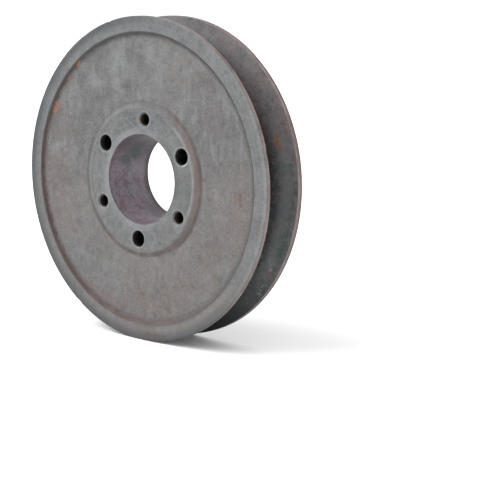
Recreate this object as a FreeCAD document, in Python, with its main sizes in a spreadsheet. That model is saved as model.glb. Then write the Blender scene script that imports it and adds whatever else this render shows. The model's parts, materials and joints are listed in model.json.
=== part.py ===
"""Single-groove V belt sheave: one iron casting with a grooved rim, a web and a hub bored for a
taper bushing.

Frame: millimetres, +Z up. The Y axis is the bore axis, and -Y is the side that the bushing goes
in from, called the front. The origin is on that axis, in the middle plane of the belt groove.
"""

import FreeCAD, Part
import math
import os

import Sketcher

SIZES = {
    # Rim and belt groove
    "outer_diameter": 175.0,
    "groove_width": 22.3,  # at the outer diameter, for a C section belt
    "groove_angle": 34.0,  # included angle
    "groove_depth": 19.8,
    "groove_root_radius": 1.0,
    "front_land": 2.6,
    "rear_land": 3.75,
    # Turned bands on the rim's two faces: the cast web lies lower inside them
    "band_radius": 79.4,
    "relief_depth": 1.7,
    "relief_slope": 2.4,  # radial extent of the relief's sloping wall
    # Hub
    "hub_length": 29.0,
    "hub_setback": 0.95,  # from the rim's front face to the hub's
    "boss_radius": 38.5,
    "boss_slope": 3.3,  # radial extent of the boss's sloping foot
    "hub_rear_radius": 43.0,
    "bore_mouth_radius": 24.3,
    "bore_taper": 8.0,  # included angle, narrowing towards the rear
    # Cored pocket behind the web
    "web_thickness": 12.5,
    "pocket_radius": 60.0,
    "draft_angle": 4.0,
    "pocket_fillet": 4.0,
    "foot_fillet": 3.0,
    "lip_round": 1.5,
    # Bushing screw holes: tapped and clearance holes in turn on one circle
    "bolt_circle_radius": 32.5,
    "clearance_diameter": 8.8,
    "tap_drill_diameter": 6.6,  # for a 5/16-18 thread
    "holes_of_each_kind": 3,
    "hole_clocking": 4.0,  # the first tapped hole's angle past the top, towards +X
    # Broken edges
    "rim_edge": 0.4,
    "land_edge": 0.25,
    "bore_edge": 0.35,
    "clearance_edge": 0.35,
    "tapped_edge": 0.8,  # a countersink just past the thread's outside diameter
    "hub_edge": 1.0,
}
CUT_MARGIN = 1.0  # how far a cutting section stands outside the metal

# Places along +Y, from the groove's middle plane
FRONT = "(-sizes.front_land - sizes.groove_width / 2)"
REAR = "(sizes.rear_land + sizes.groove_width / 2)"
HUB_FRONT = f"({FRONT} + sizes.hub_setback)"
HUB_REAR = f"({HUB_FRONT} + sizes.hub_length)"
WEB_FRONT = f"({FRONT} + sizes.relief_depth)"
WEB_REAR = f"({WEB_FRONT} + sizes.web_thickness)"
LIP_REAR = f"({REAR} - sizes.relief_depth)"

# Radii that follow from tapers and drafts
RIM = "(sizes.outer_diameter / 2)"
DRAFT = "tan(sizes.draft_angle * 1 deg)"
BORE_REAR = "(sizes.bore_mouth_radius - sizes.hub_length * tan(sizes.bore_taper * 0.5 deg))"
HUB_FOOT = f"(sizes.hub_rear_radius + ({HUB_REAR} - {WEB_REAR}) * {DRAFT})"
POCKET_MOUTH = f"(sizes.pocket_radius + ({LIP_REAR} - {WEB_REAR}) * {DRAFT})"
RELIEF_FOOT = "(sizes.band_radius - sizes.relief_slope)"
BOSS_FOOT = "(sizes.boss_radius + sizes.boss_slope)"

# Half widths of the belt groove's section, below and above the outer diameter
GROOVE_SLOPE = "tan(sizes.groove_angle * 0.5 deg)"
GROOVE_HALF = "(sizes.groove_width / 2)"
GROOVE_FLOOR_HALF = f"({GROOVE_HALF} - sizes.groove_depth * {GROOVE_SLOPE})"
GROOVE_OPEN_HALF = f"({GROOVE_HALF} + {CUT_MARGIN} * {GROOVE_SLOPE})"
GROOVE_FLOOR = f"({RIM} - sizes.groove_depth)"


def make_sheet(doc):
    sheet = doc.addObject("Spreadsheet::Sheet", "sizes")
    for row, (alias, value) in enumerate(SIZES.items(), start=1):
        sheet.set(f"A{row}", alias)
        sheet.set(f"B{row}", str(value))
        sheet.setAlias(f"B{row}", alias)
    doc.recompute()
    return sheet


def value_of(expression):
    """What an expression over the sheet comes to, as a plain number."""
    result = sheet.evalExpression(expression)
    return float(getattr(result, "Value", result))


def origin_feature(body, role):
    return next(f for f in body.Origin.OriginFeatures if f.Role == role)


def new_sketch(body, name, plane_role):
    sketch = body.newObject("Sketcher::SketchObject", name)
    sketch.AttachmentSupport = [(origin_feature(body, plane_role), "")]
    sketch.MapMode = "FlatFace"
    return sketch


def dimension_point(sketch, geometry, position, across, along):
    """Places one sketch point from the origin, both distances bound to the sheet."""
    for kind, expression in (("DistanceX", across), ("DistanceY", along)):
        number = value_of(expression)
        index = sketch.addConstraint(Sketcher.Constraint(kind, -1, 1, geometry, position, number))
        sketch.setExpression(f"Constraints[{index}]", expression)


def half_section(body, name, corners):
    """A closed outline of (radius, place along Y) corners, to be turned about the Y axis."""
    sketch = new_sketch(body, name, "XY_Plane")
    points = [FreeCAD.Vector(value_of(radius), value_of(place), 0) for radius, place in corners]
    count = len(points)
    for i in range(count):
        sketch.addGeometry(Part.LineSegment(points[i], points[(i + 1) % count]), False)
    for i in range(count):
        sketch.addConstraint(Sketcher.Constraint("Coincident", i, 2, (i + 1) % count, 1))
    for i, (radius, place) in enumerate(corners):
        dimension_point(sketch, i, 1, radius, place)
    return sketch


def turned(body, kind, name, corners):
    """A full turn of a half section: a Revolution adds metal and a Groove removes it."""
    sketch = half_section(body, f"{name}_section", corners)
    feature = body.newObject(f"PartDesign::{kind}", name)
    feature.Profile = sketch
    feature.ReferenceAxis = (sketch, ["V_Axis"])
    feature.Angle = 360
    body.Document.recompute()
    return feature


def casting(body):
    return turned(
        body,
        "Revolution",
        "casting",
        [
            ("sizes.bore_mouth_radius", HUB_FRONT),
            ("sizes.boss_radius", HUB_FRONT),
            (BOSS_FOOT, WEB_FRONT),
            (RELIEF_FOOT, WEB_FRONT),
            ("sizes.band_radius", FRONT),
            (RIM, FRONT),
            (RIM, REAR),
            ("sizes.band_radius", REAR),
            (RELIEF_FOOT, LIP_REAR),
            (POCKET_MOUTH, LIP_REAR),
            ("sizes.pocket_radius", WEB_REAR),
            (HUB_FOOT, WEB_REAR),
            ("sizes.hub_rear_radius", HUB_REAR),
            (BORE_REAR, HUB_REAR),
        ],
    )


def belt_groove(body):
    above = f"({RIM} + {CUT_MARGIN})"
    return turned(
        body,
        "Groove",
        "belt_groove",
        [
            (GROOVE_FLOOR, f"-{GROOVE_FLOOR_HALF}"),
            (above, f"-{GROOVE_OPEN_HALF}"),
            (above, GROOVE_OPEN_HALF),
            (GROOVE_FLOOR, GROOVE_FLOOR_HALF),
        ],
    )


def screw_holes(body, name, diameter, clocking):
    """Equal holes right through the hub, square to its front face, on the bolt circle."""
    sketch = new_sketch(body, f"{name}_centre", "XZ_Plane")
    sketch.setExpression("AttachmentOffset.Base.z", f"-{HUB_FRONT}")
    across = f"sizes.bolt_circle_radius * sin({clocking})"
    upward = f"sizes.bolt_circle_radius * cos({clocking})"
    centre = FreeCAD.Vector(value_of(across), value_of(upward), 0)
    circle = Part.Circle(centre, FreeCAD.Vector(0, 0, 1), value_of(diameter) / 2)
    sketch.addGeometry(circle, False)
    dimension_point(sketch, 0, 3, across, upward)
    index = sketch.addConstraint(Sketcher.Constraint("Diameter", 0, value_of(diameter)))
    sketch.setExpression(f"Constraints[{index}]", diameter)
    body.Document.recompute()

    hole = body.newObject("PartDesign::Hole", f"{name}_hole")
    hole.Profile = sketch
    hole.ThreadType = "None"
    hole.DepthType = "ThroughAll"
    hole.setExpression("Diameter", diameter)
    body.Document.recompute()

    ring = body.newObject("PartDesign::PolarPattern", name)
    ring.Originals = [hole]
    ring.Axis = (origin_feature(body, "Y_Axis"), [""])
    ring.Angle = 360
    ring.setExpression("Occurrences", "sizes.holes_of_each_kind")
    body.Tip = ring
    body.Document.recompute()
    return ring


def turned_edges(shape, radius, place):
    """Names of the circular edges about the Y axis with this radius, at this place along it."""
    return [
        f"Edge{number}"
        for number, edge in enumerate(shape.Edges, start=1)
        if isinstance(edge.Curve, Part.Circle)
        and math.hypot(edge.Curve.Center.x, edge.Curve.Center.z) < 0.01
        and abs(edge.Curve.Radius - value_of(radius)) < 0.01
        and abs(edge.Curve.Center.y - value_of(place)) < 0.01
    ]


def hole_edges(shape, diameter, place):
    """Names of the mouth edges of one kind of screw hole, at this place along the Y axis."""
    return [
        f"Edge{number}"
        for number, edge in enumerate(shape.Edges, start=1)
        if isinstance(edge.Curve, Part.Circle)
        and math.hypot(edge.Curve.Center.x, edge.Curve.Center.z) > 1
        and abs(edge.Curve.Radius - value_of(diameter) / 2) < 0.01
        and abs(edge.Curve.Center.y - value_of(place)) < 0.01
    ]


def dress(body, kind, name, edges, size):
    """A Fillet or Chamfer of one size on named edges of the body's tip."""
    if not edges:
        raise RuntimeError(f"{name} found no edge")
    feature = body.newObject(f"PartDesign::{kind}", name)
    feature.Base = (feature.BaseFeature, edges)
    feature.setExpression("Radius" if kind == "Fillet" else "Size", size)
    body.Document.recompute()
    return feature


def dress_rings(body, kind, name, rings, size):
    shape = body.Tip.Shape
    edges = [edge for radius, place in rings for edge in turned_edges(shape, radius, place)]
    return dress(body, kind, name, edges, size)


def round_cast_corners(body):
    """Radii that the mould leaves, in the pocket, at its lip and at the foot of each slope."""
    floor = [("sizes.pocket_radius", WEB_REAR), (HUB_FOOT, WEB_REAR)]
    feet = [(RELIEF_FOOT, WEB_FRONT), (BOSS_FOOT, WEB_FRONT), (RELIEF_FOOT, LIP_REAR)]
    dress_rings(body, "Fillet", "pocket_floor", floor, "sizes.pocket_fillet")
    dress_rings(body, "Fillet", "slope_feet", feet, "sizes.foot_fillet")
    dress_rings(body, "Fillet", "pocket_lip", [(POCKET_MOUTH, LIP_REAR)], "sizes.lip_round")


def break_turned_edges(body):
    root = [(GROOVE_FLOOR, f"-{GROOVE_FLOOR_HALF}"), (GROOVE_FLOOR, GROOVE_FLOOR_HALF)]
    lands = [(RIM, f"-{GROOVE_HALF}"), (RIM, GROOVE_HALF)]
    bore = [("sizes.bore_mouth_radius", HUB_FRONT), (BORE_REAR, HUB_REAR)]
    dress_rings(body, "Fillet", "groove_root", root, "sizes.groove_root_radius")
    dress_rings(body, "Chamfer", "land_edges", lands, "sizes.land_edge")
    dress_rings(body, "Chamfer", "rim_edges", [(RIM, FRONT), (RIM, REAR)], "sizes.rim_edge")
    dress_rings(body, "Chamfer", "bore_edges", bore, "sizes.bore_edge")
    dress_rings(body, "Chamfer", "hub_edge", [("sizes.hub_rear_radius", HUB_REAR)], "sizes.hub_edge")


def break_hole_edges(body, name, diameter, size):
    shape = body.Tip.Shape
    edges = [edge for place in (HUB_FRONT, HUB_REAR) for edge in hole_edges(shape, diameter, place)]
    dress(body, "Chamfer", name, edges, size)


def make_sheave(doc):
    body = doc.addObject("PartDesign::Body", "sheave")
    body.Label = "sheave"
    blank = casting(body).Shape.Volume
    if belt_groove(body).Shape.Volume >= blank:
        raise RuntimeError("the belt groove removed nothing")
    round_cast_corners(body)
    break_turned_edges(body)
    before_holes = body.Tip.Shape.Volume
    screw_holes(body, "tapped_holes", "sizes.tap_drill_diameter", "sizes.hole_clocking * 1 deg")
    clearance_clocking = "(sizes.hole_clocking + 180 / sizes.holes_of_each_kind) * 1 deg"
    screw_holes(body, "clearance_holes", "sizes.clearance_diameter", clearance_clocking)
    if body.Tip.Shape.Volume >= before_holes:
        raise RuntimeError("the screw holes removed nothing")
    break_hole_edges(body, "clearance_edges", "sizes.clearance_diameter", "sizes.clearance_edge")
    break_hole_edges(body, "tapped_edges", "sizes.tap_drill_diameter", "sizes.tapped_edge")
    return body


def check(doc, pieces):
    doc.recompute()
    for item in doc.Objects:
        if {"Invalid", "Error"} & set(item.State):
            raise RuntimeError(f"{item.Name} is {item.State}")
    for piece in pieces:
        if piece.Shape.isNull() or not piece.Shape.isValid() or len(piece.Shape.Solids) != 1:
            raise RuntimeError(f"{piece.Label} isn't one valid solid")


doc = FreeCAD.newDocument("v_belt_sheave")
sheet = make_sheet(doc)
pieces = [make_sheave(doc)]
check(doc, pieces)
os.makedirs("parts", exist_ok=True)
for piece in pieces:
    piece.Shape.exportStep(f"parts/{piece.Label}.step")
    print(piece.Label, f"{piece.Shape.Volume:.0f} mm3")
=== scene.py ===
import json
import math
import random

import bmesh
import bpy
import numpy as np
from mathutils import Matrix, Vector, noise


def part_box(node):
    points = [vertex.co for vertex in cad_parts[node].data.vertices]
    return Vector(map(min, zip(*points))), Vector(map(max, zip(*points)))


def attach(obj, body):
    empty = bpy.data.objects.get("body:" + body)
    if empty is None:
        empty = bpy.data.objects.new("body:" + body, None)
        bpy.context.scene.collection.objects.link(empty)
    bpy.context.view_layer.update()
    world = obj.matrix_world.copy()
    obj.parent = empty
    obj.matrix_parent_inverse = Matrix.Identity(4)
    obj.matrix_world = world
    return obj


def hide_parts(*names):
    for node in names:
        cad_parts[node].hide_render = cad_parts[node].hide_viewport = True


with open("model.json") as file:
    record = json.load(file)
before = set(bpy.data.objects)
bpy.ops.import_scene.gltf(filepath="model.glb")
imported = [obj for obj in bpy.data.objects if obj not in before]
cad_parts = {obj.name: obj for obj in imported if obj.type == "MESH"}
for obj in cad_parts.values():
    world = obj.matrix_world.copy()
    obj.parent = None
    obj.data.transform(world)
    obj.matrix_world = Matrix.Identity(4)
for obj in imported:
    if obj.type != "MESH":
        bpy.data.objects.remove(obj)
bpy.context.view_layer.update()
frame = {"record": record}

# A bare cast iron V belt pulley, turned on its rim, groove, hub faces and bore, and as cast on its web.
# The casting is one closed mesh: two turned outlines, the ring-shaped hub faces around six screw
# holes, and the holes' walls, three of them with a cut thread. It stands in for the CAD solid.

MM = 0.001
MOUNTS = {mount["name"]: mount for mount in frame["record"]["mounts"]}

# Places along Y and radii that the frame gives, in millimetres
RIM_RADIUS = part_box("sheave")[1].z / MM
FRONT = MOUNTS["rim_front_face"]["pos_m"][1] / MM
HUB_FRONT = MOUNTS["hub_front_face"]["pos_m"][1] / MM
HUB_REAR = MOUNTS["hub_rear_face"]["pos_m"][1] / MM
BOLT_CIRCLE = MOUNTS["tapped_holes"]["dims"]["pcd_mm"] / 2
TAPPED_RADIUS = MOUNTS["tapped_holes"]["dims"]["hole_r_mm"]
CLEARANCE_RADIUS = MOUNTS["clearance_holes"]["dims"]["hole_r_mm"]

# The rest of the casting's sizes, as the CAD model has them, in millimetres and degrees
REAR_LAND = 3.75
GROOVE_HALF = 11.15
GROOVE_DEPTH = 19.8
GROOVE_ANGLE = 34
GROOVE_SLOPE = math.tan(math.radians(GROOVE_ANGLE / 2))
REAR = GROOVE_HALF + REAR_LAND
BAND_RADIUS = 79.4
RELIEF_DEPTH = 1.7
RELIEF_SLOPE_WIDTH = 2.4
RELIEF_FOOT = BAND_RADIUS - RELIEF_SLOPE_WIDTH
WEB_THICKNESS = 12.5
WEB_FRONT = FRONT + RELIEF_DEPTH
WEB_REAR = WEB_FRONT + WEB_THICKNESS
LIP_REAR = REAR - RELIEF_DEPTH
DRAFT_ANGLE = 4
DRAFT = math.tan(math.radians(DRAFT_ANGLE))
BOSS_RADIUS = 38.5
BOSS_SLOPE_WIDTH = 3.3
BOSS_FOOT = BOSS_RADIUS + BOSS_SLOPE_WIDTH
HUB_REAR_RADIUS = 43.0
HUB_FOOT = HUB_REAR_RADIUS + (HUB_REAR - WEB_REAR) * DRAFT
POCKET_RADIUS = 60.0
POCKET_MOUTH = POCKET_RADIUS + (LIP_REAR - WEB_REAR) * DRAFT
BORE_MOUTH = 24.3
BORE_TAPER = 8
BORE_REAR = BORE_MOUTH - (HUB_REAR - HUB_FRONT) * math.tan(math.radians(BORE_TAPER / 2))
HOLE_CLOCKING = 4.0
CLEARANCE_EDGE = 0.35
TAPPED_EDGE = 0.8

# A 5/16-18 internal thread. Past each countersink is a short plain stretch, and then the thread fades
# in over one turn. The shares are of half a pitch.
THREAD_PITCH = 25.4 / 18
THREAD_DEPTH = 0.62
THREAD_CREST_RISE = 0.1
THREAD_CREST_SHARE = 0.22
THREAD_FLANK_SHARE = 0.62
THREAD_MARGIN = 0.3
THREAD_ROWS_PER_TURN = 6
THREAD_SIDES = 50

# The mesh's fineness. A sector is one screw hole's share of the hub's face. Its rows run from the
# sector's edge, 1, to the hole, 0. The turned outlines take the strips at the face's edges. A corner
# rounded by less than SMALL_ROUNDING gets fewer steps, and one rounded by more than
# BLENDING_ROUNDING has the finish of the run that it leads to.
SECTORS = 6
TURN_STEPS = 360
SECTOR_STEPS = TURN_STEPS // SECTORS
SECTOR_SIDE_STEPS = 15
SECTOR_ROWS = (1, 0.72, 0.46, 0.25, 0.09, 0)
WALL_ROWS = (0.25, 0.5, 0.75)
FACE_STRIP = 0.8
REAR_FACE_STRIP = 1.6
SMALL_ROUNDING = 0.5
BLENDING_ROUNDING = 1
EDGE_SUPPORT = 0.25
FIRST_ANGLE = math.radians(HOLE_CLOCKING - 180 / SECTORS)
WELD_DISTANCE = 0.002
SHARP_ANGLE = 38

FINISHES = ["turned", "cast", "groove", "land", "bore", "drilled", "tapped"]


# ---------------------------------------------------------------------------------------------
# Outlines: lists of (radius, place along Y) samples with a finish for each step between samples
# ---------------------------------------------------------------------------------------------


def corner_arc(before, corner, after, radius):
    """Points of an arc that rounds a corner, from the incoming line to the outgoing one."""
    to_before, to_after = (before - corner).normalized(), (after - corner).normalized()
    half = to_before.angle(to_after) / 2
    setback = radius / math.tan(half)
    start, end = corner + to_before * setback, corner + to_after * setback
    centre = corner + (to_before + to_after).normalized() * (radius / math.sin(half))
    spoke_start, spoke_end = start - centre, end - centre
    steps = 2 if radius < SMALL_ROUNDING else 4
    points = []
    for i in range(steps + 1):
        spoke = spoke_start.lerp(spoke_end, i / steps).normalized() * radius
        points.append(centre + spoke)
    return points


def spaced(start, end, step):
    """Points from start up to but not including end, with a short step at both ends."""
    length = (end - start).length
    if length < 3 * EDGE_SUPPORT:
        return [start]
    inner = length - 2 * EDGE_SUPPORT
    count = max(1, round(inner / step))
    along = [0] + [EDGE_SUPPORT + inner * i / count for i in range(count + 1)]
    return [start.lerp(end, distance / length) for distance in along]


def outline(corners):
    """Samples and finishes of a path of (radius, place, rounding, finish, step) corners.

    The finish and the step belong to the run that leaves the corner."""
    points = [Vector((radius, place)) for radius, place, *_ in corners]
    samples, finishes = [], []
    leaving = points[0]
    for i in range(1, len(corners)):
        finish, step = corners[i - 1][3:5]
        rounding = corners[i][2]
        arc = [points[i]]
        if i < len(corners) - 1 and rounding:
            arc = corner_arc(points[i - 1], points[i], points[i + 1], rounding)
        run = spaced(leaving, arc[0], step)
        samples += run
        finishes += [finish] * len(run)
        samples += arc[:-1]
        finishes += [corners[i][3] if rounding > BLENDING_ROUNDING else finish] * (len(arc) - 1)
        leaving = arc[-1]
    samples.append(leaving)
    return samples, finishes


OUTER_CORNERS = [
    (BOSS_RADIUS - FACE_STRIP, HUB_FRONT, 0, "turned", 1.0),
    (BOSS_RADIUS, HUB_FRONT, 0.3, "cast", 1.1),
    (BOSS_FOOT, WEB_FRONT, 3.0, "cast", 1.8),
    (RELIEF_FOOT, WEB_FRONT, 3.0, "cast", 0.8),
    (BAND_RADIUS, FRONT, 0.12, "turned", 2.0),
    (RIM_RADIUS, FRONT, 0.4, "land", 0.9),
    (RIM_RADIUS, -GROOVE_HALF, 0.25, "groove", 3.0),
    (RIM_RADIUS - GROOVE_DEPTH, GROOVE_DEPTH * GROOVE_SLOPE - GROOVE_HALF, 1.0, "groove", 3.0),
    (RIM_RADIUS - GROOVE_DEPTH, GROOVE_HALF - GROOVE_DEPTH * GROOVE_SLOPE, 1.0, "groove", 3.0),
    (RIM_RADIUS, GROOVE_HALF, 0.25, "land", 1.0),
    (RIM_RADIUS, REAR, 0.4, "turned", 2.0),
    (BAND_RADIUS, REAR, 0.12, "cast", 0.8),
    (RELIEF_FOOT, LIP_REAR, 3.0, "cast", 1.8),
    (POCKET_MOUTH, LIP_REAR, 1.5, "cast", 2.4),
    (POCKET_RADIUS, WEB_REAR, 4.0, "cast", 2.4),
    (HUB_FOOT, WEB_REAR, 4.0, "cast", 2.4),
    (HUB_REAR_RADIUS, HUB_REAR, 1.0, "turned", 1.0),
    (HUB_REAR_RADIUS - REAR_FACE_STRIP, HUB_REAR, 0, "turned", 1.0),
]
BORE_CORNERS = [
    (BORE_REAR + FACE_STRIP, HUB_REAR, 0, "turned", 1.0),
    (BORE_REAR, HUB_REAR, 0.35, "bore", 2.4),
    (BORE_MOUTH, HUB_FRONT, 0.35, "turned", 1.0),
    (BORE_MOUTH + FACE_STRIP, HUB_FRONT, 0, "turned", 1.0),
]


# ---------------------------------------------------------------------------------------------
# The casting's mesh
# ---------------------------------------------------------------------------------------------


class MeshParts:
    """Points and faces gathered from the casting's patches, welded into one mesh at the end."""

    def __init__(self):
        self.points, self.faces, self.finishes = [], [], []

    def add_row(self, row):
        first = len(self.points)
        self.points += [tuple(point) for point in row]
        return range(first, first + len(row))

    def add_face(self, corners, finish):
        self.faces.append(tuple(corners))
        self.finishes.append(FINISHES.index(finish))

    def bridge(self, low, high, finish, closed=True):
        """Four-sided faces between two rows of the same length."""
        count = len(low)
        for i in range(count if closed else count - 1):
            j = (i + 1) % count
            self.add_face((low[i], low[j], high[j], high[i]), finish)

    def narrow(self, fine, coarse, finish):
        """Triangles between a closed row and one with a whole fraction of its points."""
        share = len(fine) // len(coarse)
        for i, a in enumerate(coarse):
            b = coarse[(i + 1) % len(coarse)]
            run = [fine[(i * share + k) % len(fine)] for k in range(share + 1)]
            middle = share // 2
            for k in range(middle):
                self.add_face((a, run[k], run[k + 1]), finish)
            self.add_face((a, run[middle], b), finish)
            for k in range(middle, share):
                self.add_face((b, run[k], run[k + 1]), finish)


def on_circle(radius, place, angle):
    """A point about the Y axis. The angle runs clockwise from +Z, as seen from the front."""
    return Vector((radius * math.sin(angle), place, radius * math.cos(angle)))


def turn_angle(step):
    return FIRST_ANGLE + math.tau * step / TURN_STEPS


def turned_surface(parts, corners, shape=lambda sample, angle: sample):
    """An outline turned about the Y axis. shape may move a sample by where it is on the turn."""
    samples, finishes = outline(corners)
    rows = []
    for sample in samples:
        row = []
        for step in range(TURN_STEPS):
            radius, place = shape(sample, turn_angle(step))
            row.append(on_circle(radius, place, turn_angle(step)))
        rows.append(parts.add_row(row))
    for low, high, finish in zip(rows, rows[1:], finishes):
        parts.bridge(low, high, finish)


def sector_outline(sector, inner, outer, place):
    """The closed edge of one hole's share of a hub face: along the bore, out, back and in."""
    first = sector * SECTOR_STEPS
    steps = range(first, first + SECTOR_STEPS)
    start, end = turn_angle(first), turn_angle(first + SECTOR_STEPS)
    sides = [i / SECTOR_SIDE_STEPS for i in range(SECTOR_SIDE_STEPS)]
    edge = [on_circle(inner, place, turn_angle(step)) for step in steps]
    edge += [on_circle(inner + (outer - inner) * part, place, end) for part in sides]
    edge += [on_circle(outer, place, turn_angle(step + 1)) for step in reversed(steps)]
    edge += [on_circle(outer + (inner - outer) * part, place, start) for part in sides]
    return edge


def hole_ring(centre, radius, place, angles):
    return [
        Vector((centre.x + radius * math.sin(angle), place, centre.z + radius * math.cos(angle)))
        for angle in angles
    ]


def angles_around(centre, edge):
    """Directions from a hole's centre to the points of its sector's edge, without jumps."""
    facing = math.atan2(centre.x, centre.z)
    turns = [math.atan2(point.x - centre.x, point.z - centre.z) - facing for point in edge]
    return facing + np.unwrap([math.remainder(turn, math.tau) for turn in turns])


def hole_sizes(index):
    """Radius and broken edge of one of the six holes, which are tapped and clearance by turns."""
    return (CLEARANCE_RADIUS, CLEARANCE_EDGE) if index % 2 else (TAPPED_RADIUS, TAPPED_EDGE)


def hub_face(parts, sector, inner, outer, place, inward):
    """One sector's flat face, from its edge to the hole, and the hole's broken edge."""
    hole_radius, hole_edge = hole_sizes(sector)
    centre = on_circle(BOLT_CIRCLE, 0, turn_angle(sector * SECTOR_STEPS + SECTOR_STEPS // 2))
    edge = sector_outline(sector, inner, outer, place)
    angles = angles_around(centre, edge)
    rim = hole_ring(centre, hole_radius + hole_edge, place, angles)
    rows = []
    for part in SECTOR_ROWS:
        rows.append(parts.add_row([a.lerp(b, part) for a, b in zip(rim, edge)]))
    rows.append(parts.add_row(hole_ring(centre, hole_radius, place + hole_edge * inward, angles)))
    for low, high in zip(rows, rows[1:]):
        parts.bridge(low, high, "turned")
    return centre, angles, rows[-1]


def thread_radius(depth_in, angle):
    """Wall radius of the internal thread: flat crests and roots joined by sloping flanks."""
    turns = depth_in / THREAD_PITCH - angle / math.tau
    from_crest = abs((turns % 1) - 0.5) * 2
    cut = min(1, max(0, (from_crest - THREAD_CREST_SHARE) / THREAD_FLANK_SHARE))
    return TAPPED_RADIUS - THREAD_CREST_RISE + THREAD_DEPTH * cut


def plain_wall(parts, centre, front, rear):
    """A drilled wall between the two mouths, each given as (row, angles)."""
    rows = [front[0]]
    start, end = HUB_FRONT + CLEARANCE_EDGE, HUB_REAR - CLEARANCE_EDGE
    for part in WALL_ROWS:
        angles = front[1] + (rear[1] - front[1]) * part
        place = start + (end - start) * part
        rows.append(parts.add_row(hole_ring(centre, CLEARANCE_RADIUS, place, angles)))
    rows.append(rear[0])
    for low, high in zip(rows, rows[1:]):
        parts.bridge(low, high, "drilled")


def threaded_wall(parts, centre, front, rear):
    """A tapped wall: each mouth evens out and narrows to the thread's coarser rows."""
    count = len(front[1])
    turning = math.copysign(math.tau, front[1][-1] - front[1][0])
    even = front[1][0] + turning * np.arange(count) / count
    coarse = even[:: count // THREAD_SIDES]
    start, end = HUB_FRONT + TAPPED_EDGE + THREAD_MARGIN, HUB_REAR - TAPPED_EDGE - THREAD_MARGIN
    evened = [parts.add_row(hole_ring(centre, TAPPED_RADIUS, place, even)) for place in (start, end)]
    parts.bridge(front[0], evened[0], "tapped")
    parts.bridge(rear[0], evened[1], "tapped")
    start, end = start + THREAD_MARGIN, end - THREAD_MARGIN
    steps = round((end - start) / THREAD_PITCH * THREAD_ROWS_PER_TURN)
    rows = []
    for i in range(steps + 1):
        depth_in = (end - start) * i / steps
        fade = min(1, i / THREAD_ROWS_PER_TURN, (steps - i) / THREAD_ROWS_PER_TURN)
        row = []
        for angle in coarse:
            radius = TAPPED_RADIUS + (thread_radius(depth_in, angle) - TAPPED_RADIUS) * fade
            row += hole_ring(centre, radius, start + depth_in, [angle])
        rows.append(parts.add_row(row))
    for low, high in zip(rows, rows[1:]):
        parts.bridge(low, high, "tapped")
    parts.narrow(evened[0], rows[0], "tapped")
    parts.narrow(evened[1], rows[-1], "tapped")


def hub_holes(parts):
    """Both hub faces and the hole walls between them, one sector after another."""
    for sector in range(SECTORS):
        centre, angles, front = hub_face(
            parts, sector, BORE_MOUTH + FACE_STRIP, BOSS_RADIUS - FACE_STRIP, HUB_FRONT, 1
        )
        centre, rear_angles, rear = hub_face(
            parts, sector, BORE_REAR + FACE_STRIP, HUB_REAR_RADIUS - REAR_FACE_STRIP, HUB_REAR, -1
        )
        wall = plain_wall if sector % 2 else threaded_wall
        wall(parts, centre, (front, angles), (rear, rear_angles))


# Cast iron's unevenness, and the wear that years of handling leave, in millimetres. The scales are
# in features per millimetre, and the shift picks another patch of the noise.
CAST_SWELL = 0.10
CAST_GRAIN = 0.035
BAND_WOBBLE = 0.22
SWELL_SCALE, FINE_SWELL_SCALE, GRAIN_SCALE, WOBBLE_SCALE = 0.06, 0.17, 0.6, 0.22
WOBBLE_SHIFT = Vector((7, 0, 0))
NICKS = 26
NICK_SEED = 11
NICK_SIZES, NICK_DEPTHS = (0.9, 2.2), (0.08, 0.3)


def ramp(value, start, end):
    """0 before start, 1 after end, smooth between."""
    part = min(1.0, max(0.0, (value - start) / (end - start)))
    return part * part * (3 - 2 * part)


def cast_share(radius, place):
    """How much of the mould's unevenness shows: none on turned faces, all of it on the web."""
    outward = 1 - ramp(radius, RELIEF_FOOT - 0.5, BAND_RADIUS - 0.3)
    if place < 0:
        return outward * ramp(radius, BOSS_RADIUS + 0.4, BOSS_FOOT + 1)
    return outward * (1 - ramp(place, HUB_REAR - 3, HUB_REAR - 1.2))


def make_nicks():
    """Small dents on the rim's four edges, each (angle, place, size, depth)."""
    draw = random.Random(NICK_SEED)
    edges = [FRONT, FRONT, -GROOVE_HALF, GROOVE_HALF, REAR]
    return [
        (
            draw.uniform(0, math.tau),
            draw.choice(edges),
            draw.uniform(*NICK_SIZES),
            draw.uniform(*NICK_DEPTHS),
        )
        for _ in range(NICKS)
    ]


RIM_NICKS = make_nicks()


def worn_shape(sample, angle):
    """Moves one point of the outer outline: mould unevenness, a wandering band edge and nicks."""
    radius, place = sample
    here = on_circle(radius, place, angle)
    share = cast_share(radius, place)
    if share > 0 and radius < BAND_RADIUS:
        swell = noise.noise(here * SWELL_SCALE) + 0.5 * noise.noise(here * FINE_SWELL_SCALE)
        grain = noise.noise(here * GRAIN_SCALE)
        lift = share * (CAST_SWELL * swell + CAST_GRAIN * grain)
        place += lift if place < 0 else -lift
    wobble = ramp(radius, RELIEF_FOOT, BAND_RADIUS)
    wobble *= 1 - ramp(radius, BAND_RADIUS, BAND_RADIUS + 1.5)
    if wobble > 0:
        radius += wobble * BAND_WOBBLE * noise.noise(here * WOBBLE_SCALE + WOBBLE_SHIFT)
    if radius > BAND_RADIUS + 3:
        for nick_angle, nick_place, size, depth in RIM_NICKS:
            away = math.remainder(angle - nick_angle, math.tau) * RIM_RADIUS
            distance = math.hypot(away, radius - RIM_RADIUS, place - nick_place)
            radius -= depth * math.exp(-((distance / size) ** 2))
    return radius, place


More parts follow.
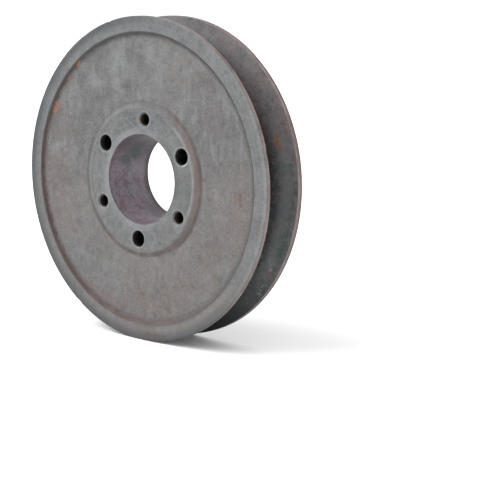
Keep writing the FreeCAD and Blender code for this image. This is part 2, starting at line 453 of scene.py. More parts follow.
def make_casting():
    parts = MeshParts()
    turned_surface(parts, OUTER_CORNERS, worn_shape)
    turned_surface(parts, BORE_CORNERS)
    hub_holes(parts)
    mesh = bpy.data.meshes.new("sheave_casting")
    mesh.from_pydata([Vector(point) * MM for point in parts.points], [], parts.faces)
    for finish in FINISHES:
        mesh.materials.append(bpy.data.materials[finish])
    mesh.polygons.foreach_set("material_index", parts.finishes)
    weld(mesh)
    casting = bpy.data.objects.new("sheave_casting", mesh)
    bpy.context.scene.collection.objects.link(casting)
    return casting


def weld(mesh):
    """Joins the patches where they meet and points every face outward."""
    build = bmesh.new()
    build.from_mesh(mesh)
    bmesh.ops.remove_doubles(build, verts=build.verts, dist=WELD_DISTANCE * MM)
    bmesh.ops.recalc_face_normals(build, faces=build.faces)
    build.to_mesh(mesh)
    build.free()
    mesh.shade_smooth()
    mesh.set_sharp_from_angle(angle=math.radians(SHARP_ANGLE))


# ---------------------------------------------------------------------------------------------
# Materials
# ---------------------------------------------------------------------------------------------

# Linear colours. The web is sand cast and oxidised, the rest was turned and has dulled.
TURNED_DARK, TURNED_LIGHT = (0.079, 0.082, 0.084), (0.121, 0.124, 0.126)
CAST_DARK, CAST_LIGHT = (0.084, 0.084, 0.084), (0.120, 0.119, 0.118)
CAST_PALE = (0.156, 0.160, 0.162)
# Bare iron, also used as painted highlight and sheen
BARE_IRON_AND_SHEEN = (0.205, 0.209, 0.212)
WARM_STAIN, WARM_PALE = (0.112, 0.088, 0.082), (0.170, 0.140, 0.130)
OUTER_EDGE_DARK = (0.042, 0.047, 0.049)
# The dark of pits and dirt, also used as painted shade in the bore, round its mouth and at the boss's
# edge
PIT_DIRT_AND_SHADE = (0.034, 0.033, 0.033)
# Dark grey and brown dirt, also used as painted shade at the recess's step, round the boss and on the
# land's underside
STEP_GRIME_AND_SHADE, STEP_DIRT_AND_SHADE = (0.030, 0.031, 0.031), (0.038, 0.021, 0.018)
# Brown residue round the boss, also used as painted shade on its slope and foot
BOSS_DIRT_AND_SHADE = (0.052, 0.038, 0.036)
# The groove's darks, used as painted shade deep in the groove and at the bottom, and for dark specks
# and lines
GROOVE_DEEP, GROOVE_BOTTOM_SHADE = (0.006, 0.006, 0.007), (0.008, 0.010, 0.011)
GROOVE_WALL, GROOVE_TOP = (0.122, 0.122, 0.123), (0.138, 0.128, 0.128)
GROOVE_ROSE = (0.140, 0.108, 0.114)
GREEN_FILM, PURPLE_FILM = (0.038, 0.062, 0.058), (0.100, 0.064, 0.076)
BORE_TEAL, BORE_PURPLE = (0.064, 0.086, 0.083), (0.112, 0.060, 0.082)
LAND_DARK, LAND_LIGHT = (0.138, 0.097, 0.090), (0.230, 0.180, 0.171)
BORE_DARK, BORE_LIGHT = (0.104, 0.083, 0.100), (0.196, 0.164, 0.190)
RUST = (0.22, 0.080, 0.036)
RUST_RED, RUST_BROWN = (0.13, 0.066, 0.052), (0.075, 0.046, 0.040)
TAPPED_MOUTH, DRILLED_MOUTH = (0.090, 0.058, 0.050), (0.034, 0.028, 0.027)
# Near black: the painted shade inside the screw holes, and the dark specks at their mouths
HOLE_DEEP = (0.002, 0.002, 0.002)

# How far the stain reaches in from a screw hole's mouths before the painted shade further in, in
# millimetres
TAPPED_STAIN, DRILLED_STAIN = 4.5, 5.0


def streak(count, start, end, place, reach):
    """Evenly spaced spots of a mark, from one (angle, radius) to another."""
    parts = [i / (count - 1) for i in range(count)]
    return [
        (start[0] + (end[0] - start[0]) * part, start[1] + (end[1] - start[1]) * part, place, reach)
        for part in parts
    ]


def groove_spot(angle, radius, reach):
    """A spot on the groove's rear wall, which slopes, so its place along Y follows its radius."""
    return angle, radius, GROOVE_HALF - (RIM_RADIUS - radius) * GROOVE_SLOPE, reach


def groove_streak(count, start, end, reach):
    spots = streak(count, start, end, 0, reach)
    return [groove_spot(angle, radius, reach) for angle, radius, *_ in spots]


def bore_spot(angle, place, reach):
    return angle, (BORE_MOUTH + BORE_REAR) / 2, place, reach


# Angles are in degrees clockwise from the top, lengths in mm.
# A spot of a mark: (angle, radius, place along Y, reach).
STEP_RUST = streak(2, (-38, 78), (-39, 78), WEB_FRONT, 1.7)
STEP_RUST += streak(3, (-60, 76.5), (-64, 76.5), WEB_FRONT, 1.9)
REDDENING = streak(3, (-46, 76.5), (-50, 75.5), WEB_FRONT, 2.5) + [
    (-65, 74.5, WEB_FRONT, 2.5),
    (14, 77, WEB_FRONT, 2.5),
    (94, 67, WEB_FRONT, 3.5),
    (122, 74.5, WEB_FRONT, 2.5),
]
WEB_SCRATCH = streak(4, (92, 69), (97, 69), WEB_FRONT, 1.6)
PALE_SMEARS = [
    (-18, 63, WEB_FRONT, 14),
    (-36, 63, WEB_FRONT, 11),
    (-77, 69, WEB_FRONT, 8),
    (2, 72, WEB_FRONT, 9),
]
DARK_SMEARS = [
    (-7, 67, WEB_FRONT, 10),
    (38, 71, WEB_FRONT, 10),
    (28, 55, WEB_FRONT, 14),
    (-140, 54, WEB_FRONT, 20),
    (-116, 50, WEB_FRONT, 18),
    (1, 49, WEB_FRONT, 13),
]
HUB_RUST = [(153, 31.5, HUB_FRONT, 2), (86, 30.5, HUB_FRONT, 1.7)]
HUB_BRIGHT = [(-90, 33, HUB_FRONT, 22)]
HUB_DULL = [(95, 32, HUB_FRONT, 24)]
BAND_BRIGHT = [(42, 84, FRONT, 40)]
BAND_PATCH = streak(3, (162, 83), (170, 82), FRONT, 3.6)
BAND_STAIN = streak(3, (169, 86), (176, 84.5), FRONT, 3.4)
GROOVE_RUST = groove_streak(4, (71, 80), (74.5, 79), 1.7)
GROOVE_BLUSH = [groove_spot(50, 81, 26), groove_spot(66, 85.5, 20), groove_spot(30, 86, 18)]
GROOVE_SCUFFS = groove_streak(3, (118, 80.5), (121, 83.5), 1.6)
GROOVE_SCUFFS += groove_streak(3, (128.5, 84.5), (132, 84.5), 1.4)
GROOVE_STAIN = [groove_spot(122, 82.5, 2.4), groove_spot(123.5, 84.5, 2.6), groove_spot(70, 86, 1.9)]
BORE_GREEN = [
    bore_spot(-46, 4, 5),
    bore_spot(-54, 1, 6),
    bore_spot(-60, 5, 6),
    bore_spot(-66, -4, 5),
    bore_spot(-72, 0, 4),
]
BORE_SCRATCHES = [bore_spot(-88, 3, 3), bore_spot(-112, 3, 4)]
# Every hole's front mouth has a rim rubbed brighter, with a painted highlight. One clearance hole's
# also has a painted glint, whose colour fades from all to none between the two reaches.
HOLE_RIM_WIDTH = 0.8
GLINT_HOLE, GLINT_ANGLE = HOLE_CLOCKING + 360 / SECTORS, 73.5
GLINT_REACHES = (0.5, 3.0)
GLINT_COLOUR = (0.36, 0.36, 0.36)

# A ring of a mark: (colour, inner radius, outer radius, softness, share, leaning). The leaning is the
# angle that the ring is strongest at, and the cosines of the turns from there to none and all of it.
EVERYWHERE = (0, -3, -2)  # every cosine is above -2
TURNED_RINGS = [
    # Round the bore's mouth: a lighter ring all round, painted highlight at the upper left and at the
    # bottom, and painted shade on the right.
    (BARE_IRON_AND_SHEEN, BORE_MOUTH - 1.0, BORE_MOUTH + 3.6, 1.6, 0.26, EVERYWHERE),
    (BARE_IRON_AND_SHEEN, BORE_MOUTH - 1.0, BORE_MOUTH + 3.6, 1.6, 0.36, (-60, 0.3, 0.7)),
    (BARE_IRON_AND_SHEEN, BORE_MOUTH, BORE_MOUTH + 3.2, 0.8, 0.3, (182, 0.85, 0.98)),
    (PIT_DIRT_AND_SHADE, BORE_MOUTH - 0.6, BORE_MOUTH + 1.4, 0.6, 0.34, (100, 0.55, 0.95)),
    (PIT_DIRT_AND_SHADE, BORE_MOUTH, BORE_MOUTH + 3.6, 1.0, 0.5, (72, 0.6, 0.95)),
    # Inside the boss's edge: painted highlight on the right, painted shade at the upper left.
    (BARE_IRON_AND_SHEEN, BOSS_RADIUS - 1.9, BOSS_RADIUS - 0.4, 0.6, 0.58, (78, 0.5, 0.9)),
    (PIT_DIRT_AND_SHADE, BOSS_RADIUS - 1.9, BOSS_RADIUS + 0.2, 0.4, 0.16, (-60, 0.5, 0.9)),
    # On the band, tone changes round the turn: warmer and lighter towards the lower right, a warm stain
    # at the lower left, lighter at the outer edge towards the lower right and darker at the outer edge
    # towards the left.
    (WARM_PALE, BAND_RADIUS + 1.0, RIM_RADIUS, 0.8, 0.5, (155, 0.7, 0.95)),
    (WARM_STAIN, BAND_RADIUS, RIM_RADIUS, 0.5, 0.3, (-150, 0.5, 0.9)),
    (BARE_IRON_AND_SHEEN, RIM_RADIUS - 2.2, RIM_RADIUS, 1.6, 0.46, (122, 0.3, 0.8)),
    (OUTER_EDGE_DARK, RIM_RADIUS - 1.4, RIM_RADIUS, 0.5, 0.75, (-140, -0.1, 0.5)),
]
CAST_RINGS = [
    # The boss's slope and foot: brown residue with painted shade on the right, at the bottom, in a line
    # on the left and in the crease at the foot, and painted highlight at the upper left. The red ring
    # is rust.
    (BOSS_DIRT_AND_SHADE, BOSS_RADIUS + 0.6, BOSS_FOOT, 0.6, 0.45, (80, -0.3, 0.6)),
    (RUST_RED, BOSS_RADIUS + 0.1, BOSS_FOOT - 0.2, 0.5, 0.38, (78, 0.65, 0.9)),
    (BOSS_DIRT_AND_SHADE, BOSS_RADIUS + 1.1, BOSS_FOOT + 0.1, 0.5, 0.75, (185, 0.4, 0.85)),
    (CAST_PALE, BOSS_RADIUS + 0.1, BOSS_RADIUS + 2.1, 0.6, 0.35, (-60, 0.5, 0.95)),
    (BOSS_DIRT_AND_SHADE, BOSS_FOOT - 0.3, BOSS_FOOT + 1.8, 0.6, 1.0, (88, 0.2, 0.8)),
    (STEP_GRIME_AND_SHADE, BOSS_RADIUS + 1.5, BOSS_FOOT + 0.8, 0.8, 0.45, (-95, 0.6, 0.95)),
    (BOSS_DIRT_AND_SHADE, BOSS_FOOT - 0.8, BOSS_FOOT + 0.8, 0.6, 0.25, EVERYWHERE),
]

# How far the dirt and painted shade at the recess's step wander, and how much wider they are below, in
# millimetres
STEP_RAGGEDNESS, STEP_WIDENING = 0.6, 0.5


class Nodes:
    """Short calls for one material's node tree."""

    def __init__(self, name):
        material = bpy.data.materials.new(name)
        material.use_nodes = True
        self.tree = material.node_tree
        self.shader = self.tree.nodes["Principled BSDF"]
        self.place = self.add("ShaderNodeTexCoord").outputs["Object"]
        split = self.add("ShaderNodeSeparateXYZ")
        self.link(self.place, split.inputs[0])
        self.across, self.along, self.height = (split.outputs[axis] for axis in "XYZ")
        squares = [self.math("POWER", value, 2.0) for value in (self.across, self.height)]
        self.radius = self.math("SQRT", self.math("ADD", *squares))

    def add(self, kind, **settings):
        node = self.tree.nodes.new(kind)
        for key, value in settings.items():
            setattr(node, key, value)
        return node

    def link(self, source, target):
        self.tree.links.new(source, target)

    def feed(self, socket, value):
        if isinstance(value, bpy.types.NodeSocket):
            self.link(value, socket)
        else:
            socket.default_value = value

    def math(self, operation, a, b=0.0):
        node = self.add("ShaderNodeMath", operation=operation)
        self.feed(node.inputs[0], a)
        self.feed(node.inputs[1], b)
        return node.outputs[0]

    def times(self, *factors):
        product = factors[0]
        for factor in factors[1:]:
            product = self.math("MULTIPLY", product, factor)
        return product

    def cloud(self, scale, detail, roughness, shift, stretch=(1, 1, 1)):
        """A noise texture, scale in features per metre. shift picks another patch of it."""
        mapping = self.add("ShaderNodeMapping")
        self.link(self.place, mapping.inputs["Vector"])
        mapping.inputs["Location"].default_value = (shift, 0, 0)
        mapping.inputs["Scale"].default_value = stretch
        texture = self.add("ShaderNodeTexNoise")
        self.link(mapping.outputs[0], texture.inputs["Vector"])
        for key, number in (("Scale", scale), ("Detail", detail), ("Roughness", roughness)):
            texture.inputs[key].default_value = number
        return texture

    def noise(self, scale, detail, roughness, shift=0.0, stretch=(1, 1, 1)):
        """Cloud noise about 0.5."""
        return self.cloud(scale, detail, roughness, shift, stretch).outputs["Fac"]

    def rings(self, distance, scale, detail=2.0):
        """Noise that only changes with a distance, as a lathe tool's marks do."""
        lines = self.add("ShaderNodeTexNoise", noise_dimensions="1D")
        self.link(distance, lines.inputs["W"])
        lines.inputs["Scale"].default_value = scale
        lines.inputs["Detail"].default_value = detail
        return lines.outputs["Fac"]

    def band(self, value, low, high, start=0.0, end=1.0):
        """Takes low..high to start..end, smoothly."""
        node = self.add("ShaderNodeMapRange", interpolation_type="SMOOTHSTEP")
        self.link(value, node.inputs["Value"])
        for key, number in zip(("From Min", "From Max", "To Min", "To Max"), (low, high, start, end)):
            node.inputs[key].default_value = number
        return node.outputs["Result"]

    def band_mm(self, value, low, high, start=0.0, end=1.0):
        """As band, with low and high in millimetres."""
        return self.band(value, low * MM, high * MM, start, end)

    def between(self, value, low, high, soft):
        """1 between low and high, 0 outside them, fading over soft. All in millimetres."""
        rise = self.band_mm(value, low - soft, low + soft)
        fall = self.band_mm(value, high - soft, high + soft, 1.0, 0.0)
        return self.times(rise, fall)

    def mix(self, share, a, b):
        node = self.add("ShaderNodeMix", data_type="RGBA")
        self.feed(node.inputs["Factor"], share)
        for socket, value in ((node.inputs[6], a), (node.inputs[7], b)):
            self.feed(socket, value if isinstance(value, bpy.types.NodeSocket) else (*value, 1.0))
        return node.outputs[2]

    def torn(self, scale, reach, shift=0.0):
        """The place, pushed about by noise, so that what is measured from it has a ragged edge."""
        cloud = self.cloud(scale, 4.0, 0.7, shift)
        push = self.add("ShaderNodeVectorMath", operation="MULTIPLY_ADD")
        self.link(cloud.outputs["Color"], push.inputs[0])
        push.inputs[1].default_value = (reach * MM,) * 3
        push.inputs[2].default_value = (-reach * MM / 2,) * 3
        moved = self.add("ShaderNodeVectorMath", operation="ADD")
        self.link(self.place, moved.inputs[0])
        self.link(push.outputs[0], moved.inputs[1])
        return moved.outputs[0]

    def distance(self, source, angle, radius, place):
        """Distance from a point given by its angle in degrees, radius and place in millimetres."""
        away = self.add("ShaderNodeVectorMath", operation="DISTANCE")
        self.link(source, away.inputs[0])
        away.inputs[1].default_value = on_circle(radius, place, math.radians(angle)) * MM
        return away.outputs["Value"]

    def spots(self, colour, marks, mark, torn, share=1.0):
        """Lays a mark's colour at each spot, thinning to nothing at the spot's reach."""
        for angle, radius, place, reach in marks:
            away = self.distance(torn, angle, radius, place)
            near = self.band_mm(away, 0.0, reach, share, 0.0)
            colour = self.mix(near, colour, mark)
        return colour

    def lean(self, angle, none, full):
        """0 to 1 by how far a point's direction about the axis leans towards an angle."""
        turn = math.radians(angle)
        sideways = self.times(self.across, math.sin(turn))
        upward = self.times(self.height, math.cos(turn))
        cosine = self.math("DIVIDE", self.math("ADD", sideways, upward), self.radius)
        return self.band(cosine, none, full)

    def ring(self, colour, mark, low, high, soft, share, leaning, patches):
        """Lays a mark's colour between two radii, thinner where the patches noise is low."""
        across = self.between(self.radius, low, high, soft)
        patchy = self.band(patches, 0.35, 0.6, 0.55 * share, share)
        return self.mix(self.times(across, self.lean(*leaning), patchy), colour, mark)

    def finish(self, colour, roughness, metallic, height, depth):
        """Feeds the shader. depth is the height's full range in millimetres."""
        self.link(colour, self.shader.inputs["Base Color"])
        self.feed(self.shader.inputs["Roughness"], roughness)
        self.shader.inputs["Metallic"].default_value = metallic
        bump = self.add("ShaderNodeBump")
        bump.inputs["Strength"].default_value = 1.0
        bump.inputs["Distance"].default_value = depth * MM
        self.link(height, bump.inputs["Height"])
        self.link(bump.outputs["Normal"], self.shader.inputs["Normal"])


def make_turned():
    n = Nodes("turned")
    torn = n.torn(260.0, 9.0)
    clouds = n.noise(42.0, 5.0, 0.62)
    smudges = n.noise(130.0, 5.0, 0.62, shift=3.0)
    mottle = n.noise(330.0, 4.0, 0.65, shift=5.0)
    specks = n.noise(1300.0, 2.0, 0.6)
    fine, coarse = n.rings(n.radius, 2600.0), n.rings(n.radius, 620.0)
    colour = n.mix(n.band(clouds, 0.34, 0.66), TURNED_DARK, TURNED_LIGHT)
    colour = n.mix(n.band(smudges, 0.5, 0.7, 0.0, 0.3), colour, WARM_STAIN)
    colour = n.spots(colour, BAND_BRIGHT, BARE_IRON_AND_SHEEN, torn, 0.25)
    colour = n.spots(colour, HUB_BRIGHT, BARE_IRON_AND_SHEEN, torn, 0.2)
    colour = n.spots(colour, BAND_PATCH, BARE_IRON_AND_SHEEN, torn, 0.6)
    colour = n.mix(n.band(mottle, 0.4, 0.64, 0.0, 0.22), colour, BARE_IRON_AND_SHEEN)
    colour = n.mix(n.band(mottle, 0.48, 0.32, 0.0, 0.25), colour, PIT_DIRT_AND_SHADE)
    colour = n.mix(n.band(coarse, 0.45, 0.62, 0.0, 0.1), colour, BARE_IRON_AND_SHEEN)
    colour = n.mix(n.band(fine, 0.5, 0.68, 0.0, 0.3), colour, TURNED_DARK)
    colour = n.spots(colour, HUB_DULL, PIT_DIRT_AND_SHADE, torn, 0.3)
    colour = n.mix(n.band(specks, 0.48, 0.7, 0.0, 0.3), colour, PIT_DIRT_AND_SHADE)
    colour = n.mix(n.band(specks, 0.5, 0.3, 0.0, 0.2), colour, BARE_IRON_AND_SHEEN)
    for mark in TURNED_RINGS:
        colour = n.ring(colour, *mark, smudges)
    colour = n.spots(colour, HUB_RUST, RUST_RED, torn, 0.9)
    # Darker over the band's outer part, except on the right.
    outer_edge_darkening = n.times(n.lean(-115, -0.8, -0.1), n.band(smudges, 0.3, 0.6, 0.65, 0.8))
    outer_edge_darkening = n.times(outer_edge_darkening, n.band_mm(n.radius, BAND_RADIUS + 0.9, RIM_RADIUS - 1.3))
    colour = n.mix(outer_edge_darkening, colour, OUTER_EDGE_DARK)
    colour = n.spots(colour, BAND_STAIN, RUST_BROWN, torn, 0.7)
    # Round each hole's front mouth, a rim rubbed bright with a painted highlight, and at one clearance
    # hole a painted glint.
    for hole in range(SECTORS):
        mouth = sum(hole_sizes(hole))
        away = n.distance(n.place, HOLE_CLOCKING + hole * 360 / SECTORS, BOLT_CIRCLE, HUB_FRONT)
        bright = n.between(away, mouth, mouth + HOLE_RIM_WIDTH, 0.35)
        colour = n.mix(n.times(bright, 0.4), colour, BARE_IRON_AND_SHEEN)
    from_hole = n.distance(n.place, GLINT_HOLE, BOLT_CIRCLE, HUB_FRONT)
    from_glint = n.distance(n.place, GLINT_ANGLE, BOLT_CIRCLE + 1.0, HUB_FRONT)
    rim = n.between(from_hole, CLEARANCE_RADIUS, CLEARANCE_RADIUS + HOLE_RIM_WIDTH, 0.3)
    colour = n.mix(n.times(rim, n.band_mm(from_glint, *GLINT_REACHES, 1.0, 0.0)), colour, GLINT_COLOUR)
    rough = n.band(clouds, 0.3, 0.7, 0.46, 0.6)
    height = n.math("ADD", n.times(fine, 0.6), n.times(specks, 0.5))
    n.finish(colour, rough, 0.35, height, 0.05)


def make_cast():
    n = Nodes("cast")
    torn, smeared = n.torn(330.0, 7.0), n.torn(70.0, 30.0, shift=2.0)
    clouds = n.noise(20.0, 5.0, 0.6, shift=0.3)
    blotches = n.noise(75.0, 6.0, 0.65)
    streaks = n.noise(70.0, 6.0, 0.65, shift=1.7, stretch=(1, 1, 0.3))
    warmth = n.noise(16.0, 5.0, 0.6, shift=0.9)
    mottle = n.noise(230.0, 5.0, 0.7, shift=2.3)
    dabs = n.noise(190.0, 4.0, 0.6, shift=3.9, stretch=(1, 1, 0.3))
    grain = n.noise(1200.0, 2.0, 0.6)
    colour = n.mix(n.band(clouds, 0.36, 0.64), CAST_DARK, CAST_LIGHT)
    colour = n.mix(n.band(blotches, 0.5, 0.66, 0.0, 0.5), colour, CAST_PALE)
    colour = n.mix(n.band(streaks, 0.5, 0.66, 0.0, 0.45), colour, CAST_DARK)
    lower, outer = n.band_mm(n.height, -50, 50, 0.95, 0.2), n.band_mm(n.radius, 50, 66, 0.35, 1.0)
    colour = n.mix(n.times(n.band(warmth, 0.38, 0.56), lower, outer), colour, WARM_STAIN)
    colour = n.spots(colour, PALE_SMEARS, CAST_PALE, smeared, 0.7)
    colour = n.spots(colour, DARK_SMEARS, PIT_DIRT_AND_SHADE, smeared, 0.22)
    wiped = n.band_mm(n.height, -30, 30, 0.3, 1.0)
    colour = n.mix(n.times(n.band(dabs, 0.52, 0.64, 0.0, 0.45), wiped), colour, CAST_PALE)
    colour = n.mix(n.times(n.band(dabs, 0.48, 0.36, 0.0, 0.35), wiped), colour, CAST_DARK)
    colour = n.mix(n.band(mottle, 0.52, 0.66, 0.0, 0.4), colour, CAST_PALE)
    colour = n.mix(n.band(mottle, 0.48, 0.32, 0.0, 0.35), colour, PIT_DIRT_AND_SHADE)
    colour = n.mix(n.band(grain, 0.48, 0.7, 0.0, 0.3), colour, PIT_DIRT_AND_SHADE)
    colour = n.mix(n.band(grain, 0.5, 0.3, 0.0, 0.15), colour, BARE_IRON_AND_SHEEN)
    for mark in CAST_RINGS:
        colour = n.ring(colour, *mark, blotches)
    # The recess's step: brown dirt with painted shade in the crease at its foot and on its slope,
    # strongest towards the upper left.
    step_dirt_and_shade = n.mix(n.lean(-130, -0.3, 0.6), STEP_GRIME_AND_SHADE, STEP_DIRT_AND_SHADE)
    ragged = n.band(mottle, 0.35, 0.65, -STEP_RAGGEDNESS * MM, STEP_RAGGEDNESS * MM)
    widened = n.times(n.lean(-165, 0.2, 0.7), STEP_WIDENING * MM)
    foot = n.math("ADD", n.math("ADD", n.radius, ragged), widened)
    colour = n.mix(n.band_mm(foot, RELIEF_FOOT - 1.8, RELIEF_FOOT + 0.2, 0.0, 0.4), colour, step_dirt_and_shade)
    rising = n.band_mm(foot, RELIEF_FOOT - 0.2, RELIEF_FOOT + 1.2)
    ending = n.band_mm(n.radius, BAND_RADIUS - 0.8, BAND_RADIUS + 0.1, 1.0, 0.0)
    lower_right = n.band_mm(n.math("SUBTRACT", n.across, n.height), 20, 100, 0.95, 0.55)
    shade = n.times(rising, ending, n.band(blotches, 0.3, 0.6, 0.8, 1.0), lower_right)
    colour = n.mix(shade, colour, step_dirt_and_shade)
    colour = n.spots(colour, REDDENING, RUST_RED, torn, 0.5)
    colour = n.spots(colour, WEB_SCRATCH, RUST_BROWN, torn, 0.9)
    colour = n.spots(colour, STEP_RUST, RUST, torn, 1.3)
    rough = n.band(blotches, 0.3, 0.7, 0.55, 0.72)
    height = n.math("ADD", n.times(blotches, 1.4), n.times(mottle, 0.6))
    n.finish(colour, rough, 0.2, n.math("ADD", height, n.times(grain, 0.3)), 0.22)


def make_groove():
    n = Nodes("groove")
    torn, smeared = n.torn(330.0, 7.0), n.torn(90.0, 20.0, shift=2.0)
    clouds = n.noise(60.0, 5.0, 0.65)
    films = n.noise(120.0, 5.0, 0.65, shift=2.1)
    mottle = n.noise(420.0, 4.0, 0.65, shift=1.3)
    grain = n.noise(1300.0, 2.0, 0.6)
    turning = n.rings(n.radius, 1500.0)
    # Painted shade: darker deeper in the groove, lighter towards its top.
    colour = n.mix(n.band_mm(n.radius, RIM_RADIUS - 17.5, RIM_RADIUS - 4.5), GROOVE_DEEP, GROOVE_WALL)
    colour = n.mix(n.band_mm(n.radius, RIM_RADIUS - 6.5, RIM_RADIUS, 0.0, 0.25), colour, GROOVE_TOP)
    colour = n.mix(n.band(films, 0.5, 0.6, 0.0, 0.6), colour, GREEN_FILM)
    colour = n.mix(n.band(films, 0.5, 0.4, 0.0, 0.5), colour, PURPLE_FILM)
    colour = n.spots(colour, GROOVE_BLUSH, GROOVE_ROSE, smeared, 0.7)
    colour = n.mix(n.times(n.lean(118, 0.75, 1.0), 0.35), colour, GREEN_FILM)
    colour = n.mix(n.band(mottle, 0.49, 0.34, 0.0, 0.3), colour, GROOVE_DEEP)
    colour = n.mix(n.band(mottle, 0.51, 0.66, 0.0, 0.55), colour, GROOVE_TOP)
    colour = n.mix(n.band(turning, 0.5, 0.66, 0.0, 0.12), colour, GROOVE_DEEP)
    colour = n.mix(n.band(grain, 0.5, 0.7, 0.0, 0.4), colour, GROOVE_DEEP)
    colour = n.mix(n.times(n.lean(8, 0.8, 1.0), 0.35), colour, GROOVE_DEEP)
    # Painted shade: darker towards the bottom of the pulley.
    colour = n.mix(n.band_mm(n.height, -75, -40, 0.95, 0.0), colour, GROOVE_BOTTOM_SHADE)
    # Painted light: lighter on the right of the groove's wall, between these radii.
    painted_light_right = n.between(n.radius, RIM_RADIUS - 9.5, RIM_RADIUS - 4.5, 2)
    painted_light_right = n.times(n.lean(96, 0.78, 0.97), painted_light_right, 0.32)
    colour = n.mix(painted_light_right, colour, BARE_IRON_AND_SHEEN)
    colour = n.spots(colour, GROOVE_STAIN, RUST_RED, torn, 0.7)
    colour = n.spots(colour, GROOVE_SCUFFS, BARE_IRON_AND_SHEEN, torn, 0.8)
    colour = n.spots(colour, GROOVE_RUST, RUST, torn, 1.0)
    rough = n.band(clouds, 0.3, 0.7, 0.45, 0.62)
    height = n.math("ADD", turning, n.times(grain, 0.5))
    n.finish(colour, rough, 0.3, height, 0.05)


def make_land():
    n = Nodes("land")
    clouds = n.noise(110.0, 5.0, 0.65)
    rusting = n.noise(38.0, 5.0, 0.6, shift=1.1)
    grain = n.noise(700.0, 3.0, 0.7)
    turning = n.rings(n.along, 1500.0)
    colour = n.mix(n.band(clouds, 0.36, 0.64), LAND_DARK, LAND_LIGHT)
    colour = n.mix(n.band(rusting, 0.52, 0.68, 0.0, 0.5), colour, RUST_RED)
    colour = n.mix(n.band(turning, 0.5, 0.66, 0.0, 0.4), colour, LAND_DARK)
    colour = n.mix(n.band(grain, 0.55, 0.72, 0.0, 0.4), colour, STEP_DIRT_AND_SHADE)
    edge_line = n.between(n.math("ABSOLUTE", n.along), -FRONT - 0.95, -FRONT - 0.75, 0.15)
    colour = n.mix(n.times(edge_line, 0.6), colour, STEP_DIRT_AND_SHADE)
    colour = n.mix(n.band_mm(n.along, REAR - 2.3, REAR - 0.9, 0.0, 0.6), colour, STEP_DIRT_AND_SHADE)
    # Painted shade: darker at the bottom, where the land faces down.
    colour = n.mix(n.times(n.lean(165, 0.75, 0.95), 0.55), colour, STEP_DIRT_AND_SHADE)
    n.finish(colour, 0.52, 0.3, n.math("ADD", turning, grain), 0.04)


def make_bore():
    n = Nodes("bore")
    torn = n.torn(220.0, 11.0)
    clouds = n.noise(80.0, 5.0, 0.65)
    films = n.noise(200.0, 6.0, 0.75, shift=4.0)
    grain = n.noise(900.0, 3.0, 0.7)
    turning = n.rings(n.along, 1300.0)
    colour = n.mix(n.band(clouds, 0.36, 0.64), BORE_DARK, BORE_LIGHT)
    # Painted light: lighter towards the lower left, where the bore's wall faces up.
    colour = n.mix(n.times(n.lean(-120, 0.4, 0.9), 0.9), colour, BORE_LIGHT)
    colour = n.mix(n.band(films, 0.51, 0.42, 0.0, 0.65), colour, BORE_PURPLE)
    colour = n.mix(n.band(films, 0.54, 0.60, 0.0, 0.7), colour, BORE_TEAL)
    colour = n.spots(colour, BORE_GREEN, BORE_TEAL, torn, 1.2)
    colour = n.mix(n.band(turning, 0.5, 0.66, 0.0, 0.25), colour, BORE_DARK)
    colour = n.mix(n.band(grain, 0.5, 0.7, 0.0, 0.5), colour, PIT_DIRT_AND_SHADE)
    colour = n.mix(n.band(grain, 0.48, 0.3, 0.0, 0.25), colour, BARE_IRON_AND_SHEEN)
    # Painted shade: darker towards the top, along the front edge on the lower left, towards the rear at
    # the bottom, and near the rear end all round.
    shaded_top = n.times(n.lean(-14, 0.4, 0.95), n.band_mm(n.along, -12, 12, 0.42, 0.78))
    colour = n.mix(shaded_top, colour, PIT_DIRT_AND_SHADE)
    front_edge_shade = n.band_mm(n.along, HUB_FRONT, HUB_FRONT + 1.6, 0.55, 0.0)
    colour = n.mix(n.times(n.lean(-115, 0.5, 0.9), front_edge_shade), colour, PIT_DIRT_AND_SHADE)
    shaded_end = n.times(n.lean(172, 0.4, 0.9), n.band_mm(n.along, 1, 9, 0.0, 0.62))
    colour = n.mix(shaded_end, colour, PIT_DIRT_AND_SHADE)
    colour = n.mix(n.band_mm(n.along, HUB_REAR - 4.7, HUB_REAR - 1.2, 0.0, 0.8), colour, PIT_DIRT_AND_SHADE)
    colour = n.spots(colour, BORE_SCRATCHES, BARE_IRON_AND_SHEEN, torn, 0.5)
    height = n.math("ADD", turning, n.times(grain, 0.5))
    n.finish(colour, 0.5, 0.3, height, 0.04)


def make_hole(name, mouth, mouth_depth):
    """A screw hole's wall: stained for mouth_depth mm at both mouths, and black further in, where the
    black is painted shade.
    """
    n = Nodes(name)
    grain = n.noise(500.0, 4.0, 0.7)
    middle, half = (HUB_FRONT + HUB_REAR) / 2, (HUB_REAR - HUB_FRONT) / 2
    off_middle = n.math("ABSOLUTE", n.math("SUBTRACT", n.along, middle * MM))
    stain = n.mix(n.band(grain, 0.45, 0.65, 0.0, 0.5), mouth, HOLE_DEEP)
    colour = n.mix(n.band_mm(off_middle, half - mouth_depth, half), HOLE_DEEP, stain)
    n.shader.inputs["Specular IOR Level"].default_value = 0.1
    n.finish(colour, 0.7, 0.0, grain, 0.03)


# ---------------------------------------------------------------------------------------------
# The stage: floor, light and camera
# ---------------------------------------------------------------------------------------------

# The camera's place in rim radii from the centre of the rim's front face, and where it points.
# The frame has the pulley at its upper left, so the shift is the pulley's distance from the middle.
CAMERA_PLACE = Vector((5.739, -5.905, 1.009))
CAMERA_AZIMUTH = 43.06
CAMERA_ELEVATION = 6.91
CAMERA_LENS = 101.47
CAMERA_SHIFT = (0.1542, -0.1292)
SENSOR_WIDTH = 36

KEY_TOWARDS = Vector((-0.45, -0.55, 0.70))
KEY_STRENGTH = 3.0
KEY_SOFTNESS = 50
SKY_STRENGTH = 1.15
FLOOR_REACH = 4000
FLOOR_GREY = 0.93
FLOOR_ROUGHNESS = 0.9


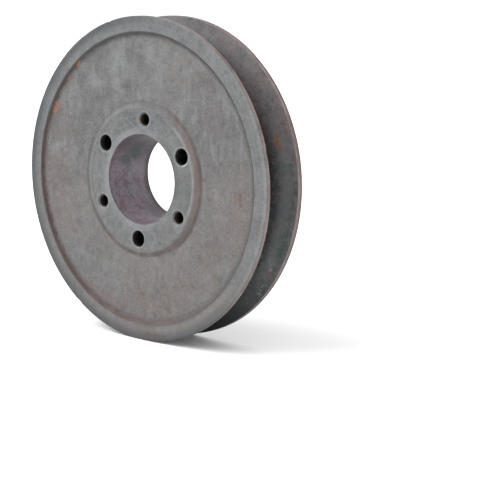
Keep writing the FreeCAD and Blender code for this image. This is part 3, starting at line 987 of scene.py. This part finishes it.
def make_floor():
    mesh = bpy.data.meshes.new("floor")
    corners = [(-1, -1), (1, -1), (1, 1), (-1, 1)]
    points = [Vector((x * FLOOR_REACH, y * FLOOR_REACH, -RIM_RADIUS)) * MM for x, y in corners]
    mesh.from_pydata(points, [], [(0, 1, 2, 3)])
    material = bpy.data.materials.new("floor")
    material.use_nodes = True
    shader = material.node_tree.nodes["Principled BSDF"]
    shader.inputs["Base Color"].default_value = (FLOOR_GREY, FLOOR_GREY, FLOOR_GREY, 1)
    shader.inputs["Roughness"].default_value = FLOOR_ROUGHNESS
    mesh.materials.append(material)
    floor = bpy.data.objects.new("floor", mesh)
    bpy.context.scene.collection.objects.link(floor)


def make_key():
    """A broad soft key, the same strength everywhere, so that the floor stays even."""
    light = bpy.data.lights.new("key", "SUN")
    light.energy = KEY_STRENGTH
    light.angle = math.radians(KEY_SOFTNESS)
    lamp = bpy.data.objects.new("key", light)
    lamp.rotation_euler = KEY_TOWARDS.to_track_quat("Z", "Y").to_euler()
    bpy.context.scene.collection.objects.link(lamp)


def make_world():
    world = bpy.data.worlds.new("studio")
    world.use_nodes = True
    background = world.node_tree.nodes["Background"]
    background.inputs["Color"].default_value = (1, 1, 1, 1)
    background.inputs["Strength"].default_value = SKY_STRENGTH
    bpy.context.scene.world = world


def make_camera():
    camera = bpy.data.objects.new("camera", bpy.data.cameras.new("camera"))
    camera.data.sensor_width = SENSOR_WIDTH
    camera.data.lens = CAMERA_LENS
    camera.data.shift_x, camera.data.shift_y = CAMERA_SHIFT
    camera.location = CAMERA_PLACE * RIM_RADIUS * MM + Vector((0, FRONT * MM, 0))
    azimuth, elevation = math.radians(CAMERA_AZIMUTH), math.radians(CAMERA_ELEVATION)
    ahead = Vector((-math.sin(azimuth), math.cos(azimuth), 0)) * math.cos(elevation)
    ahead.z = -math.sin(elevation)
    camera.rotation_euler = ahead.to_track_quat("-Z", "Y").to_euler()
    bpy.context.scene.collection.objects.link(camera)
    bpy.context.scene.camera = camera


make_turned()
make_cast()
make_groove()
make_land()
make_bore()
make_hole("drilled", DRILLED_MOUTH, DRILLED_STAIN)
make_hole("tapped", TAPPED_MOUTH, TAPPED_STAIN)
casting = make_casting()
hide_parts("sheave")
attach(casting, "root")
make_floor()
make_world()
make_key()
make_camera()
bpy.context.scene.view_settings.view_transform = "Standard"
